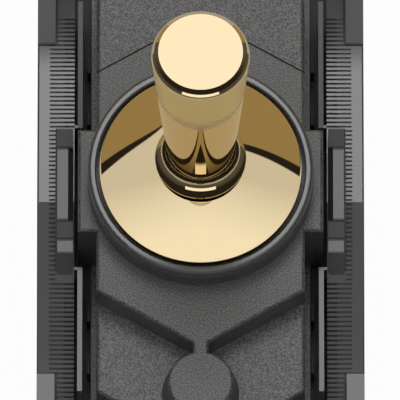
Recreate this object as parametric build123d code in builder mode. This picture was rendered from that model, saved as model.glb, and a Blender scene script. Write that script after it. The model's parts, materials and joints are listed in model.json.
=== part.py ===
from build123d import *
import math
import os

os.makedirs("parts", exist_ok=True)

# A one-module lever pushbutton for a wall box, lying on its back with its front up.
# x runs across the module, y along it towards its upper end, and z out of its front.
# The origin is the middle of the back face. All sizes are in millimetres and degrees.

# Module
module_width = 22.4
module_length = 45.0
rail_ridge_z = 27.0

# Side rails: a shallow roof along each side, with fine teeth for the frame that holds the module
rail_width = 2.55
rail_fall = 5.8
rail_edge_round = 0.12
tooth_pitch = 0.332
tooth_width = 0.15
tooth_depth = 0.12
tooth_inner_run = 0.7
tooth_outer_run = 1.0
tooth_outer_depth = 0.045
tooth_side_run = 0.46
tooth_field_start = 5.65
tooth_field_end = 14.3
end_tab_width = 1.22
end_tab_start = 12.12
end_tab_rise = 0.22
end_tab_slope = 3.0
end_tab_round = 0.1
end_tab_groove = 0.16

# Latch ears that stand on the rails beside the collar
ear_width = 1.2
ear_inset = 0.08
ear_ramp = 1.0
ear_foot_y = -4.96
ear_foot_run = 0.3
ear_foot_round = 0.5
ear_head_round = 0.2
ear_low_step = 1.03
ear_strip = 5.31
ear_top = 0.1
ear_profile_round = 0.3
ear_bevel_in = 0.34
ear_bevel_down = 0.5
ear_edge_round = 0.14

# Thin ribs between the rails and the cover
rib_width = 0.34
rib_gap = 0.23
rib_start = 5.13
rib_end = 14.36
rib_rise = 0.84
rib_slope = 2.5
rib_cap = 0.2

# Frame floor that the cover stands on, and the skirts that clip over the housing
frame_plate = 1.4
frame_plate_z = 22.0
frame_opening_width = 12.4
frame_opening_length = 34.0
skirt_width = 16.0
skirt_drop = 8.6
skirt_thickness = 0.9
skirt_gap = 0.1
clip_window_width = 5.2
clip_window_height = 2.6
clip_window_rise = 2.0
clip_clearance = 0.25
pad_places = (7.25, 11.1)
pad_width = 0.2
pad_length = 1.4
pad_height = 1.5
pad_clearance = 0.08

# Front cover
hexagon_rise = 4.05
chevron_step = 2.3
end_step = 2.15
chevron_angle = 30.0
hexagon_apex = 12.18
chevron_apex = 18.68
cover_gap = 1.55
cover_flange = 0.4
cover_flange_height = 1.2
cover_length = 44.2
cover_wall = 1.2
cover_edge_round = 0.25
wing_gap = 0.27
wing_length = 7.52
wing_foot_drop = 2.2

# Collar round the disc
collar_radius = 7.7
collar_height = 2.1
collar_bore_radius = 7.13
collar_seat_depth = 1.1
collar_top_round = 0.25
collar_bore_chamfer = 0.1
cover_bore_radius = 6.3

# Clips inside the cover's ends, which hook under the frame's floor
clip_width = 6.0
clip_thickness = 0.9
clip_catch = 0.45
clip_lip = 0.9

# Round boss below the hexagon
boss_y = -14.75
boss_top_radius = 2.23
boss_foot_radius = 2.63
neck_width = 1.1

# Gilt disc: a shallow dome, pressed from sheet, with a turned-down rim
disc_radius = 6.89
disc_sheet = 0.55
disc_rim_slope = 13.5
disc_dome_radius = 45.3
disc_hole_radius = 2.1

# Lever: its rest lean, its axis and its profile, measured along the lever from the pivot
pivot_z = 29.6
lever_rest_lean = 4.5
lever_travel = 8.0
lever_length = 20.64
lever_top_radius = 3.37
lever_taper = 4.1
lever_edge_round = 0.54
skirt_edge_radius = 3.1
skirt_edge_height = 4.57
skirt_edge_thickness = 0.12
skirt_edge_slope = 28.0

# Lever core and carrier
core_thread_radius = 1.5
core_barrel_radius = 1.8
core_barrel_foot = 2.4
core_engagement = 5.5
thread_clearance = 0.05
pin_radius = 0.8
pin_bearing_clearance = 0.04
pin_seat_clearance = 0.01
carrier_width = 8.2
carrier_hub_radius = 2.75
carrier_collar_radius = 2.5
carrier_collar_top = 2.9
arm_width = 3.2
nose_radius = 1.0
nose_y = -5.2
nose_z = 24.0
arm_root_radius = 1.6

# Chassis inside the housing, with the two cheeks that hold the pivot pin
chassis_plate = 1.5
chassis_z = 17.5
chassis_rim = 0.8
chassis_clearance = 0.1
cheek_gap = 0.2
cheek_thickness = 1.25
cheek_length = 4.4
cheek_top_z = 31.4
guide_clearance = 0.1
guide_sleeve = 1.4
guide_wall = 1.1

# Plunger, which the carrier's nose presses
plunger_y = -5.0
plunger_width = 4.4
plunger_depth = 3.0
plunger_head_length = 4.6
plunger_head_height = 1.0
plunger_head_shift = 0.3
nose_gap = 0.06
plunger_foot_z = 11.6
plunger_nub_radius = 1.2
plunger_nub_height = 1.0
window_width = 2.8
window_floor_z = 13.9
window_height = 2.6

# Contacts
bridge_width = 2.6
bridge_thickness = 0.6
bridge_length = 10.4
tip_radius = 1.0
tip_thickness = 0.5
tip_spread = 4.0
tip_gap_left = 0.08
strip_thickness = 0.8
strip_width = 5.0
strip_inner_gap = 0.9
strip_end_y = 18.4

# Terminals
terminal_y = 15.7
cage_width = 8.4
cage_length = 5.0
cage_wall = 0.9
cage_floor_z = 5.6
screw_radius = 1.7
screw_head_radius = 2.8
screw_head_height = 2.0
screw_head_z = 1.9
screw_tip_z = 8.2
screw_slot_width = 0.7
screw_slot_depth = 0.9
wire_hole_radius = 1.5
wire_hole_spread = 1.75
wire_funnel_radius = 2.0
wire_funnel_depth = 0.5

# Springs
return_spring_radius = 1.75
return_spring_wire = 0.22
return_spring_turns = 5
bridge_spring_radius = 0.85
bridge_spring_wire = 0.15
bridge_spring_turns = 3
spring_end_gap = 0.03
spring_wire_sides = 8

# Rear housing
housing_length = 41.6
housing_wall = 1.2
housing_floor = 1.6
housing_corner_round = 1.2
housing_back_chamfer = 0.6
ledge_width = 0.5
screw_access_radius = 2.4
housing_rib = 1.2
housing_rib_width = 9.0
lower_rib_shares = (0.5,)
upper_rib_shares = (0.25, 0.7)
spring_post_radius = 2.5
spring_post_z = 4.6
hook_reach = 0.7

# Heights and places worked out from the sizes above
half_length = module_length / 2
rail_inner_x = module_width / 2 - rail_width
cover_width = 2 * (rail_inner_x - cover_gap)
cover_foot_width = cover_width + 2 * cover_flange
wing_reach = rail_inner_x - wing_gap
hexagon_z = rail_ridge_z + hexagon_rise
chevron_z = hexagon_z - chevron_step
end_plate_z = chevron_z - end_step
collar_z = hexagon_z + collar_height
disc_seat_z = collar_z - collar_seat_depth
cover_foot_z = frame_plate_z + frame_plate
lean = math.radians(lever_rest_lean)
lever_direction = (0, math.sin(lean), math.cos(lean))
pivot = (0, 0, pivot_z)
lever_axis = Axis(pivot, lever_direction)
# The sketch plane through the lever: its local x is across the module, its local y is up the lever
lever_section = Plane(origin=pivot, x_dir=(1, 0, 0), z_dir=(0, -math.cos(lean), math.sin(lean)))
lever_foot = Plane(origin=pivot, x_dir=(1, 0, 0), z_dir=lever_direction)
plunger_top_z = nose_z - nose_radius - nose_gap
nose_drop = (
    -nose_y * math.sin(math.radians(lever_travel))
    - (pivot_z - nose_z) * (1 - math.cos(math.radians(lever_travel)))
)
bridge_z = window_floor_z
moving_tip_z = bridge_z - tip_thickness
fixed_tip_z = moving_tip_z - nose_drop - tip_gap_left - tip_thickness
strip_z = fixed_tip_z - strip_thickness
cage_top_z = fixed_tip_z + cage_wall
housing_height = frame_plate_z
housing_width = module_width - 2 * (skirt_thickness + skirt_gap)
chassis_top_z = chassis_z + chassis_plate
clip_z = frame_plate_z - skirt_drop + clip_window_rise


def rail_top(y):
    """Height of a rail's roof at a distance y from the middle of the module."""
    return rail_ridge_z - abs(y) * math.tan(math.radians(rail_fall))


def six_sided(half_width, apex):
    """Corner points of an outline with straight sides and a chevron point at each end."""
    shoulder = apex - half_width * math.tan(math.radians(chevron_angle))
    return [
        (half_width, -shoulder),
        (half_width, shoulder),
        (0, apex),
        (-half_width, shoulder),
        (-half_width, -shoulder),
        (0, -apex),
    ]


def tooth_rows(start, end, depth):
    """Draw the V grooves between the teeth on both slopes of a rail, from start to end."""
    for sign in (-1, 1):
        for index in range(int(start / tooth_pitch), int(end / tooth_pitch)):
            y = sign * (index + 0.5) * tooth_pitch
            z = rail_top(y)
            with Locations((y, z)):
                Polygon(
                    (-tooth_width / 2, depth),
                    (-tooth_width / 2, 0),
                    (0, -depth),
                    (tooth_width / 2, 0),
                    (tooth_width / 2, depth),
                    align=None,
                )


# Latch ear: a stair that steps down towards the lower end, with its inner top edge bevelled
ear_x = rail_inner_x + ear_inset
ear_foot_z = rail_top(ear_foot_y)
ear_end_y = ear_foot_y - ear_foot_run
ear_profile = [(ear_end_y, ear_foot_z - ear_ramp)]
ear_profile.append((ear_end_y, rail_top(ear_end_y) - ear_inset))
ear_profile.append((ear_foot_y + ear_ramp, ear_foot_z + ear_ramp))
ear_profile.append((ear_foot_y + ear_ramp + ear_low_step, ear_foot_z + ear_ramp))
strip_start_y = ear_foot_y + 2 * ear_ramp + ear_low_step
ear_strip_z = ear_foot_z + 2 * ear_ramp
ear_profile.append((strip_start_y, ear_strip_z))
ear_profile.append((strip_start_y + ear_strip, ear_strip_z))
ear_head_y = strip_start_y + ear_strip + ear_ramp
ear_profile.append((ear_head_y, ear_strip_z + ear_ramp))
ear_profile.append((ear_head_y + ear_top, ear_strip_z + ear_ramp))
ear_profile.append((ear_head_y + ear_top, ear_foot_z - ear_ramp))
with BuildPart() as latch_ear:
    with BuildSketch(Plane.YZ.offset(ear_x)) as ear_side:
        with BuildLine():
            Polyline(*ear_profile, close=True)
        make_face()
        step_corners = ear_side.vertices().filter_by_position(
            Axis.Y,
            ear_foot_z + ear_ramp / 2,
            ear_strip_z + ear_ramp / 2,
        )
        fillet(step_corners, ear_profile_round)
    extrude(amount=ear_width)
    outer_edges = latch_ear.edges().group_by(Axis.X)[-1].sort_by(Axis.Z)
    fillet(outer_edges.filter_by(Axis.Z, reverse=True)[1:-1], ear_edge_round)
    # Rounded in plan at its foot, and at the outer corner of its head
    with BuildSketch(Plane.XY.offset(ear_foot_z - ear_ramp)) as ear_plan:
        with Locations((ear_x, ear_end_y)):
            Rectangle(ear_width, ear_head_y + ear_top - ear_end_y, align=(Align.MIN, Align.MIN))
        fillet(ear_plan.vertices().group_by(Axis.Y)[0], ear_foot_round)
        head_corner = ear_plan.vertices().group_by(Axis.Y)[-1].sort_by(Axis.X)[-1]
        fillet(head_corner, ear_head_round)
    extrude(amount=ear_strip_z - ear_foot_z + 2 * ear_ramp, mode=Mode.INTERSECT)
    with BuildSketch(Plane.XZ.offset(-strip_start_y)):
        with BuildLine():
            Polyline(
                (ear_x - ear_inset, ear_strip_z + ear_ramp),
                (ear_x - ear_inset, ear_strip_z - ear_bevel_down),
                (ear_x, ear_strip_z - ear_bevel_down),
                (ear_x + ear_bevel_in, ear_strip_z),
                (ear_x + ear_bevel_in, ear_strip_z + ear_ramp),
                close=True,
            )
        make_face()
    extrude(amount=-ear_strip, mode=Mode.SUBTRACT)

# Mounting frame: rails, ears, ribs and end tabs on one moulded floor, and a skirt each side
with BuildPart() as mounting_frame:
    with BuildSketch(Plane.YZ.offset(rail_inner_x)):
        with BuildLine():
            Polyline(
                (-half_length, frame_plate_z),
                (half_length, frame_plate_z),
                (half_length, rail_top(half_length)),
                (0, rail_ridge_z),
                (-half_length, rail_top(half_length)),
                close=True,
            )
        make_face()
    extrude(amount=rail_width)
    outer_roof_edges = mounting_frame.edges().group_by(Axis.X)[-1].sort_by(Axis.Z)[-2:]
    fillet(outer_roof_edges, rail_edge_round)
    # Teeth: deep along the inner edge, hardly marked beyond it, and a short row beside the ear
    with BuildSketch(Plane.YZ.offset(rail_inner_x)):
        tooth_rows(tooth_field_start, tooth_field_end, tooth_depth)
    extrude(amount=tooth_inner_run, mode=Mode.SUBTRACT)
    with BuildSketch(Plane.YZ.offset(rail_inner_x + tooth_inner_run)):
        tooth_rows(tooth_field_start, tooth_field_end, tooth_outer_depth)
    extrude(amount=tooth_outer_run, mode=Mode.SUBTRACT)
    with BuildSketch(Plane.YZ.offset(rail_inner_x + ear_inset + ear_width)):
        tooth_rows(0, tooth_field_start, tooth_outer_depth)
    extrude(amount=tooth_side_run, mode=Mode.SUBTRACT)
    # Fine groove along the inner side of each end tab
    groove_x = module_width / 2 - end_tab_width - end_tab_groove
    for sign in (-1, 1):
        with BuildSketch(Plane.YZ.offset(groove_x)):
            with BuildLine():
                Polyline(
                    (sign * end_tab_start, rail_top(end_tab_start) - end_tab_groove),
                    (sign * half_length, rail_top(half_length) - end_tab_groove),
                    (sign * half_length, rail_ridge_z),
                    (sign * end_tab_start, rail_ridge_z),
                    close=True,
                )
            make_face()
        extrude(amount=end_tab_groove, mode=Mode.SUBTRACT)
    # End tabs, raised a little above the roof and rising outwards
    tab_end_z = rail_top(end_tab_start) + end_tab_rise
    tab_tip_z = tab_end_z + (half_length - end_tab_start) * math.tan(math.radians(end_tab_slope))
    for sign in (-1, 1):
        with BuildSketch(Plane.YZ.offset(module_width / 2 - end_tab_width)):
            with BuildLine():
                Polyline(
                    (sign * end_tab_start, frame_plate_z),
                    (sign * half_length, frame_plate_z),
                    (sign * half_length, tab_tip_z),
                    (sign * (end_tab_start + end_tab_round), tab_end_z),
                    (sign * end_tab_start, tab_end_z - end_tab_round),
                    close=True,
                )
            make_face()
        extrude(amount=end_tab_width)
    add(latch_ear.part)
    # Ribs: thin upright walls that rise outwards, each with a small return at its inner end
    rib_x = rail_inner_x - rib_gap - rib_width
    rib_start_z = rail_ridge_z + rib_rise
    rib_end_z = rib_start_z + (rib_end - rib_start) * math.tan(math.radians(rib_slope))
    for sign in (-1, 1):
        with BuildSketch(Plane.YZ.offset(rib_x)):
            with BuildLine():
                Polyline(
                    (sign * rib_start, frame_plate_z),
                    (sign * rib_end, frame_plate_z),
                    (sign * rib_end, rib_end_z),
                    (sign * rib_start, rib_start_z),
                    close=True,
                )
            make_face()
        extrude(amount=rib_width)
        with BuildSketch(Plane.YZ.offset(rib_x)):
            with Locations((sign * (rib_start + rib_cap / 2), frame_plate_z)):
                Rectangle(rib_cap, rib_start_z - frame_plate_z, align=(Align.CENTER, Align.MIN))
        extrude(amount=rib_width + rib_gap)
    # Skirt with the window that the housing's hook clips into
    skirt_x = module_width / 2 - skirt_thickness
    with BuildSketch(Plane.YZ.offset(skirt_x)):
        with Locations((0, frame_plate_z)):
            Rectangle(skirt_width, skirt_drop, align=(Align.CENTER, Align.MAX))
        with Locations((0, clip_z)):
            Rectangle(
                clip_window_width,
                clip_window_height,
                align=(Align.CENTER, Align.MIN),
                mode=Mode.SUBTRACT,
            )
    extrude(amount=skirt_thickness)
    # Floor
    with BuildSketch(Plane.XY.offset(frame_plate_z)):
        with Locations((frame_opening_width / 2, 0)):
            Rectangle(
                module_width / 2 - frame_opening_width / 2,
                module_length,
                align=(Align.MIN, Align.CENTER),
            )
        end_bar = (module_length - frame_opening_length) / 2
        with Locations((0, half_length - end_bar / 2), (0, end_bar / 2 - half_length)):
            Rectangle(frame_opening_width / 2, end_bar, align=(Align.MIN, Align.CENTER))
    extrude(amount=frame_plate)
    # Small pads on the floor, which keep the cover's flange in the middle
    pad_x = cover_foot_width / 2 + pad_clearance
    with BuildSketch(Plane.XY.offset(cover_foot_z)):
        for pad_y in pad_places:
            with Locations((pad_x, pad_y), (pad_x, -pad_y)):
                Rectangle(pad_width, pad_length, align=(Align.MIN, Align.CENTER))
    extrude(amount=pad_height)
    mirror(about=Plane.YZ)
mounting_frame.part.label = "mounting_frame"
export_step(mounting_frame.part, "parts/mounting_frame.step")

# Front cover: a stepped plate with chevron ends, a collar, two wings and a boss
with BuildPart() as front_cover:
    with BuildSketch(Plane.XY.offset(cover_foot_z)):
        Rectangle(cover_width, cover_length)
    extrude(amount=end_plate_z - cover_foot_z)
    with BuildSketch(Plane.XY.offset(cover_foot_z)):
        Polygon(*six_sided(cover_width / 2, chevron_apex), align=None)
    extrude(amount=chevron_z - cover_foot_z)
    with BuildSketch(Plane.XY.offset(cover_foot_z)):
        Polygon(*six_sided(cover_width / 2, hexagon_apex), align=None)
        with Locations((0, boss_y / 2)):
            Rectangle(neck_width, -boss_y)
    extrude(amount=hexagon_z - cover_foot_z)
    # Wings beside the collar
    with BuildSketch(Plane.XY.offset(rail_ridge_z - wing_foot_drop)):
        Rectangle(2 * wing_reach, wing_length)
    extrude(amount=hexagon_z - rail_ridge_z + wing_foot_drop)
    # Boss
    with BuildSketch(Plane.XY.offset(chevron_z)):
        with Locations((0, boss_y)):
            Circle(boss_foot_radius)
    with BuildSketch(Plane.XY.offset(hexagon_z)):
        with Locations((0, boss_y)):
            Circle(boss_top_radius)
    loft()
    # Eased edges along the top of each level
    for level in (hexagon_z, chevron_z, end_plate_z):
        level_edges = front_cover.edges().filter_by_position(Axis.Z, level, level)
        fillet(level_edges.filter_by(Edge.is_interior, reverse=True), cover_edge_round)
    # Flange along the foot of each long side
    with BuildSketch(Plane.XY.offset(cover_foot_z)):
        Rectangle(cover_foot_width, cover_length)
    extrude(amount=cover_flange_height)
    # Collar
    with BuildSketch(Plane.XY.offset(hexagon_z)):
        Circle(collar_radius)
    extrude(amount=collar_height)
    fillet(front_cover.edges().group_by(Axis.Z)[-1], collar_top_round)
    # Hollow inside, under each of the three levels
    inner_half = cover_width / 2 - cover_wall
    with BuildSketch(Plane.XY.offset(cover_foot_z)):
        Rectangle(2 * inner_half, cover_length - 2 * cover_wall)
    extrude(amount=end_plate_z - cover_wall - cover_foot_z, mode=Mode.SUBTRACT)
    with BuildSketch(Plane.XY.offset(cover_foot_z)):
        Polygon(*six_sided(inner_half, chevron_apex - cover_wall), align=None)
    extrude(amount=chevron_z - cover_wall - cover_foot_z, mode=Mode.SUBTRACT)
    with BuildSketch(Plane.XY.offset(cover_foot_z)):
        Polygon(*six_sided(inner_half, hexagon_apex - cover_wall), align=None)
    extrude(amount=hexagon_z - cover_wall - cover_foot_z, mode=Mode.SUBTRACT)
    # Seat for the disc, and the bore below it
    with BuildSketch(Plane.XY.offset(disc_seat_z)):
        Circle(collar_bore_radius)
    extrude(amount=collar_seat_depth, mode=Mode.SUBTRACT)
    bore_edge = front_cover.edges().group_by(Axis.Z)[-1].sort_by(SortBy.LENGTH)[0]
    chamfer(bore_edge, collar_bore_chamfer)
    with BuildSketch(Plane.XY.offset(cover_foot_z)):
        Circle(cover_bore_radius)
    extrude(amount=disc_seat_z - cover_foot_z, mode=Mode.SUBTRACT)
    # Clips
    clip_face_y = frame_opening_length / 2 - clip_clearance
    catch_z = frame_plate_z - skirt_gap
    for sign in (-1, 1):
        with BuildSketch(Plane.YZ):
            with BuildLine():
                Polyline(
                    (sign * (clip_face_y - clip_thickness), end_plate_z - cover_wall),
                    (sign * clip_face_y, end_plate_z - cover_wall),
                    (sign * clip_face_y, catch_z),
                    (sign * (clip_face_y + clip_catch), catch_z),
                    (sign * clip_face_y, catch_z - clip_lip),
                    (sign * (clip_face_y - clip_thickness), catch_z - clip_lip),
                    close=True,
                )
            make_face()
        extrude(amount=clip_width / 2, both=True)
front_cover.part.label = "front_cover"
export_step(front_cover.part, "parts/front_cover.step")

# Gilt disc
dome_offset = disc_dome_radius * math.sin(math.radians(disc_rim_slope)) - disc_radius


def dome_height(radius, sheet=0.0):
    """Height above the rim of the disc's upper face, or of a face that lies sheet below it."""
    face = disc_dome_radius - sheet
    rim = disc_dome_radius * math.cos(math.radians(disc_rim_slope))
    return math.sqrt(face**2 - (radius + dome_offset) ** 2) - rim


rim_inner = disc_radius - disc_sheet
middle_radius = (disc_radius + disc_hole_radius) / 2
with BuildPart() as escutcheon_disc:
    with BuildSketch(Plane.XZ):
        with BuildLine():
            ThreePointArc(
                (disc_hole_radius, collar_z + dome_height(disc_hole_radius)),
                (middle_radius, collar_z + dome_height(middle_radius)),
                (disc_radius, collar_z),
            )
            Polyline(
                (disc_radius, collar_z),
                (disc_radius, disc_seat_z),
                (rim_inner, disc_seat_z),
                (rim_inner, collar_z + dome_height(rim_inner, disc_sheet)),
            )
            ThreePointArc(
                (rim_inner, collar_z + dome_height(rim_inner, disc_sheet)),
                (middle_radius, collar_z + dome_height(middle_radius, disc_sheet)),
                (disc_hole_radius, collar_z + dome_height(disc_hole_radius, disc_sheet)),
            )
            Line(
                (disc_hole_radius, collar_z + dome_height(disc_hole_radius, disc_sheet)),
                (disc_hole_radius, collar_z + dome_height(disc_hole_radius)),
            )
        make_face()
    revolve(axis=Axis.Z)
escutcheon_disc.part.label = "escutcheon_disc"
export_step(escutcheon_disc.part, "parts/escutcheon_disc.step")

# Lever: a tapered rod with a flat cap, flared at its foot into a thin skirt that hides the disc's hole
taper = math.radians(lever_taper)
edge_slope = math.radians(skirt_edge_slope)
skirt_top = skirt_edge_height + skirt_edge_thickness
flare = skirt_edge_radius - lever_top_radius + (lever_length - skirt_top) * math.tan(taper)
flare_share = math.cos(taper) - math.sin(edge_slope)
flare_share += (math.cos(edge_slope) + math.sin(taper)) * math.tan(taper)
flare_radius = flare / flare_share
flare_centre_r = skirt_edge_radius + flare_radius * math.sin(edge_slope)
flare_centre_h = skirt_top + flare_radius * math.cos(edge_slope)
flare_end_r = flare_centre_r - flare_radius * math.cos(taper)
flare_end_h = flare_centre_h + flare_radius * math.sin(taper)
flare_middle = math.radians(45)
flare_middle_r = flare_centre_r - flare_radius * math.cos(flare_middle)
flare_middle_h = flare_centre_h - flare_radius * math.sin(flare_middle)
skirt_sphere = math.hypot(skirt_edge_radius, skirt_edge_height)
bore_radius = core_thread_radius + thread_clearance
bore_foot = math.sqrt(skirt_sphere**2 - bore_radius**2)
bore_top = bore_foot + core_engagement
skirt_middle_r = (skirt_edge_radius + bore_radius) / 2
skirt_middle_h = math.sqrt(skirt_sphere**2 - skirt_middle_r**2)
with BuildPart() as lever:
    with BuildSketch(lever_section):
        with BuildLine():
            Polyline(
                (bore_radius, bore_foot),
                (bore_radius, bore_top),
                (0, bore_top),
                (0, lever_length),
                (lever_top_radius, lever_length),
                (flare_end_r, flare_end_h),
            )
            ThreePointArc(
                (flare_end_r, flare_end_h),
                (flare_middle_r, flare_middle_h),
                (skirt_edge_radius, skirt_top),
            )
            Line((skirt_edge_radius, skirt_top), (skirt_edge_radius, skirt_edge_height))
            ThreePointArc(
                (skirt_edge_radius, skirt_edge_height),
                (skirt_middle_r, skirt_middle_h),
                (bore_radius, bore_foot),
            )
        make_face()
    revolve(axis=lever_axis)
    cap_edge = lever.edges().filter_by(GeomType.CIRCLE).sort_by(lever_axis)[-1]
    fillet(cap_edge, lever_edge_round)
lever.part.label = "lever"
export_step(lever.part, "parts/lever.step")

# Lever core: a turned steel stud, screwed into the lever and cross-drilled for the pivot pin
with BuildPart() as lever_core:
    with BuildSketch(lever_foot.offset(-core_barrel_foot)):
        Circle(core_barrel_radius)
    extrude(amount=core_barrel_foot + carrier_collar_top)
    with BuildSketch(lever_foot.offset(carrier_collar_top)):
        Circle(core_thread_radius)
    extrude(amount=bore_top - thread_clearance - carrier_collar_top)
    with BuildSketch(Plane.YZ):
        with Locations((0, pivot_z)):
            Circle(pin_radius + pin_bearing_clearance)
    extrude(amount=core_barrel_radius, both=True, mode=Mode.SUBTRACT)
lever_core.part.label = "lever_core"
export_step(lever_core.part, "parts/lever_core.step")

# Lever carrier: a moulded hub round the core, with an arm whose nose presses the plunger
with BuildPart() as lever_carrier:
    with BuildSketch(Plane.YZ):
        with Locations((0, pivot_z)):
            Circle(carrier_hub_radius)
    extrude(amount=carrier_width / 2, both=True)
    with BuildSketch(lever_foot):
        Circle(carrier_collar_radius)
    extrude(amount=carrier_collar_top)
    with BuildSketch(Plane.YZ):
        with Locations((0, pivot_z)):
            Circle(arm_root_radius)
        with Locations((nose_y, nose_z)):
            Circle(nose_radius)
        make_hull()
    extrude(amount=arm_width / 2, both=True)
    with BuildSketch(lever_foot.offset(-core_barrel_foot)):
        Circle(core_barrel_radius + pin_seat_clearance)
    extrude(amount=core_barrel_foot + carrier_collar_top, mode=Mode.SUBTRACT)
    with BuildSketch(Plane.YZ):
        with Locations((0, pivot_z)):
            Circle(pin_radius + pin_bearing_clearance)
    extrude(amount=carrier_width / 2, both=True, mode=Mode.SUBTRACT)
lever_carrier.part.label = "lever_carrier"
export_step(lever_carrier.part, "parts/lever_carrier.step")

# Pivot pin, held in the chassis cheeks
cheek_inner_x = carrier_width / 2 + cheek_gap
cheek_outer_x = cheek_inner_x + cheek_thickness
with BuildPart() as pivot_pin:
    with BuildSketch(Plane.YZ):
        with Locations((0, pivot_z)):
            Circle(pin_radius)
    extrude(amount=cheek_outer_x, both=True)
pivot_pin.part.label = "pivot_pin"
export_step(pivot_pin.part, "parts/pivot_pin.step")

# Chassis: closes the contact chamber, guides the plunger and holds the pivot pin
upper_half_width = housing_width / 2 - housing_wall
upper_half_length = housing_length / 2 - housing_wall
chassis_width = 2 * (upper_half_width - chassis_clearance)
chassis_length = 2 * (upper_half_length - chassis_clearance)
with BuildPart() as chassis:
    with BuildSketch(Plane.XY.offset(chassis_z)):
        Rectangle(chassis_width, chassis_length)
    extrude(amount=housing_height - chassis_z)
    with BuildSketch(Plane.XY.offset(chassis_top_z)):
        Rectangle(chassis_width - 2 * chassis_rim, chassis_length - 2 * chassis_rim)
    extrude(amount=housing_height - chassis_top_z, mode=Mode.SUBTRACT)
    with BuildSketch(Plane.XY.offset(chassis_top_z)):
        for sign in (-1, 1):
            with Locations((sign * (cheek_inner_x + cheek_outer_x) / 2, 0)):
                Rectangle(cheek_thickness, cheek_length)
    extrude(amount=cheek_top_z - chassis_top_z)
    with BuildSketch(Plane.XY.offset(chassis_top_z)):
        with Locations((0, plunger_y)):
            Rectangle(
                plunger_width + 2 * (guide_clearance + guide_wall),
                plunger_depth + 2 * (guide_clearance + guide_wall),
            )
    extrude(amount=guide_sleeve)
    with BuildSketch(Plane.XY.offset(chassis_z)):
        with Locations((0, plunger_y)):
            Rectangle(plunger_width + 2 * guide_clearance, plunger_depth + 2 * guide_clearance)
    extrude(amount=chassis_plate + guide_sleeve, mode=Mode.SUBTRACT)
    with BuildSketch(Plane.YZ):
        with Locations((0, pivot_z)):
            Circle(pin_radius + pin_seat_clearance)
    extrude(amount=cheek_outer_x, both=True, mode=Mode.SUBTRACT)
chassis.part.label = "chassis"
export_step(chassis.part, "parts/chassis.step")

# Plunger: a guided stem with a head for the nose, a window for the bridge and a nub for its spring
with BuildPart() as plunger:
    with BuildSketch(Plane.XY.offset(plunger_foot_z)):
        with Locations((0, plunger_y)):
            Rectangle(plunger_width, plunger_depth)
    extrude(amount=plunger_top_z - plunger_foot_z)
    with BuildSketch(Plane.XY.offset(plunger_top_z)):
        with Locations((0, plunger_y + plunger_head_shift)):
            Rectangle(plunger_width, plunger_head_length)
    extrude(amount=-plunger_head_height)
    with BuildSketch(Plane.XY.offset(plunger_foot_z)):
        with Locations((0, plunger_y)):
            Circle(plunger_nub_radius)
    extrude(amount=-plunger_nub_height)
    with BuildSketch(Plane.XY.offset(window_floor_z)):
        with Locations((0, plunger_y)):
            Rectangle(window_width, plunger_depth)
    extrude(amount=window_height, mode=Mode.SUBTRACT)
plunger.part.label = "plunger"
export_step(plunger.part, "parts/plunger.step")

# Moving contact: a bridge in the plunger's window, with a silver tip at each end
with BuildPart() as contact_bridge:
    with BuildSketch(Plane.XY.offset(bridge_z)):
        with Locations((0, plunger_y)):
            Rectangle(bridge_width, bridge_length)
    extrude(amount=bridge_thickness)
contact_bridge.part.label = "contact_bridge"
export_step(contact_bridge.part, "parts/contact_bridge.step")

# Springs: one returns the plunger, the other presses the bridge onto its window's floor


def coil_spring(radius, wire, turns, foot_z, height):
    """A round-wire compression spring that stands on foot_z, below the plunger's middle."""
    rise = height - 2 * (wire + spring_end_gap)
    with BuildPart() as spring:
        with BuildLine():
            coil = Helix(
                pitch=rise / turns,
                height=rise,
                radius=radius,
                center=(0, plunger_y, foot_z + wire + spring_end_gap),
            )
        with BuildSketch(Plane(origin=coil @ 0, z_dir=coil % 0)):
            RegularPolygon(wire, spring_wire_sides)
        sweep()
    return spring.part


return_spring = coil_spring(
    return_spring_radius,
    return_spring_wire,
    return_spring_turns,
    spring_post_z,
    plunger_foot_z - spring_post_z,
)
return_spring.label = "return_spring"
export_step(return_spring, "parts/return_spring.step")

bridge_top_z = bridge_z + bridge_thickness
bridge_spring = coil_spring(
    bridge_spring_radius,
    bridge_spring_wire,
    bridge_spring_turns,
    bridge_top_z,
    window_floor_z + window_height - bridge_top_z,
)
bridge_spring.label = "bridge_spring"
export_step(bridge_spring, "parts/bridge_spring.step")

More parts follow.
